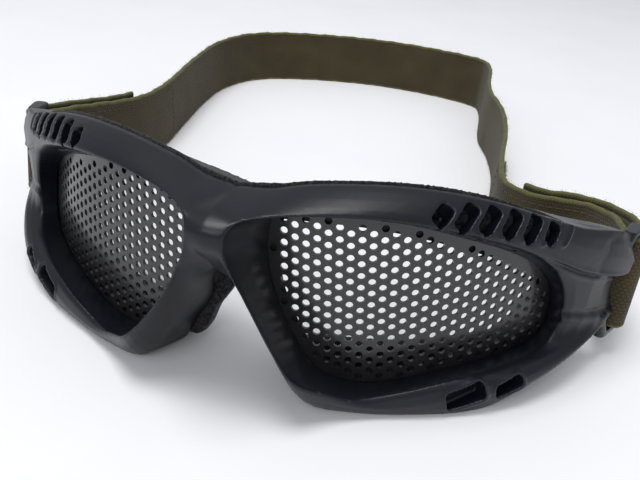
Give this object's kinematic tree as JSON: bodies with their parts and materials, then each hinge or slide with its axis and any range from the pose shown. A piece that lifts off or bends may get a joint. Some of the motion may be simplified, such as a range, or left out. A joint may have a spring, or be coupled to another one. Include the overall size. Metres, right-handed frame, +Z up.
{
  "type": "goggles",
  "caption": "Low-profile wraparound goggles: moulded frame, perforated steel lenses, face foam and an elastic head strap with turned-back hook-and-loop tails",
  "frame": {"origin": "On the table plane, in the goggles' middle plane, midway between the face sides of the two lenses' inner ends", "axes": "+Z up, +Y towards the wearer's head and the back of the strap, +X towards the viewer's right when seen from the front"},
  "size_m": [0.162, 0.2323, 0.0462],
  "materials": {
    "frame_plastic": "satin black moulded plastic",
    "lens_steel": "black coated perforated steel sheet",
    "ring_plastic": "black moulded plastic",
    "face_foam": "black open-cell foam",
    "webbing": "woven olive drab elastic webbing",
    "hook_tape": "dark olive hook tape",
    "loop_tape": "olive loop tape with a fuzzy pile"
  },
  "bodies": {
    "goggles": {"frame": "frame_plastic", "lens_right": "lens_steel", "lens_left": "lens_steel", "lens_ring_right": "ring_plastic", "lens_ring_left": "ring_plastic", "brow_foam": "face_foam", "cheek_foam_right": "face_foam", "cheek_foam_left": "face_foam"},
    "strap": {"strap_band": "webbing", "loop_patch_right": "loop_tape", "loop_patch_left": "loop_tape"},
    "tail_right": {"strap_tail_right": "webbing", "hook_patch_right": "hook_tape"},
    "tail_left": {"strap_tail_left": "webbing", "hook_patch_left": "hook_tape"}
  },
  "joints": [
    {"name": "strap_swing", "type": "hinge", "parent": "goggles", "child": "strap", "pos_m": [0, 0.04024, 0.0184], "axis": [1, 0, 0], "range_deg": [0, 6]},
    {"name": "tail_peel_right", "type": "hinge", "parent": "strap", "child": "tail_right", "pos_m": [0.0801, 0.0434, 0.0179], "axis": [0, -0.1478, -0.989], "range_deg": [0, 70]},
    {"name": "tail_peel_left", "type": "hinge", "parent": "strap", "child": "tail_left", "pos_m": [-0.0801, 0.0434, 0.0179], "axis": [0, 0.1478, 0.989], "range_deg": [0, 70]}
  ]
}
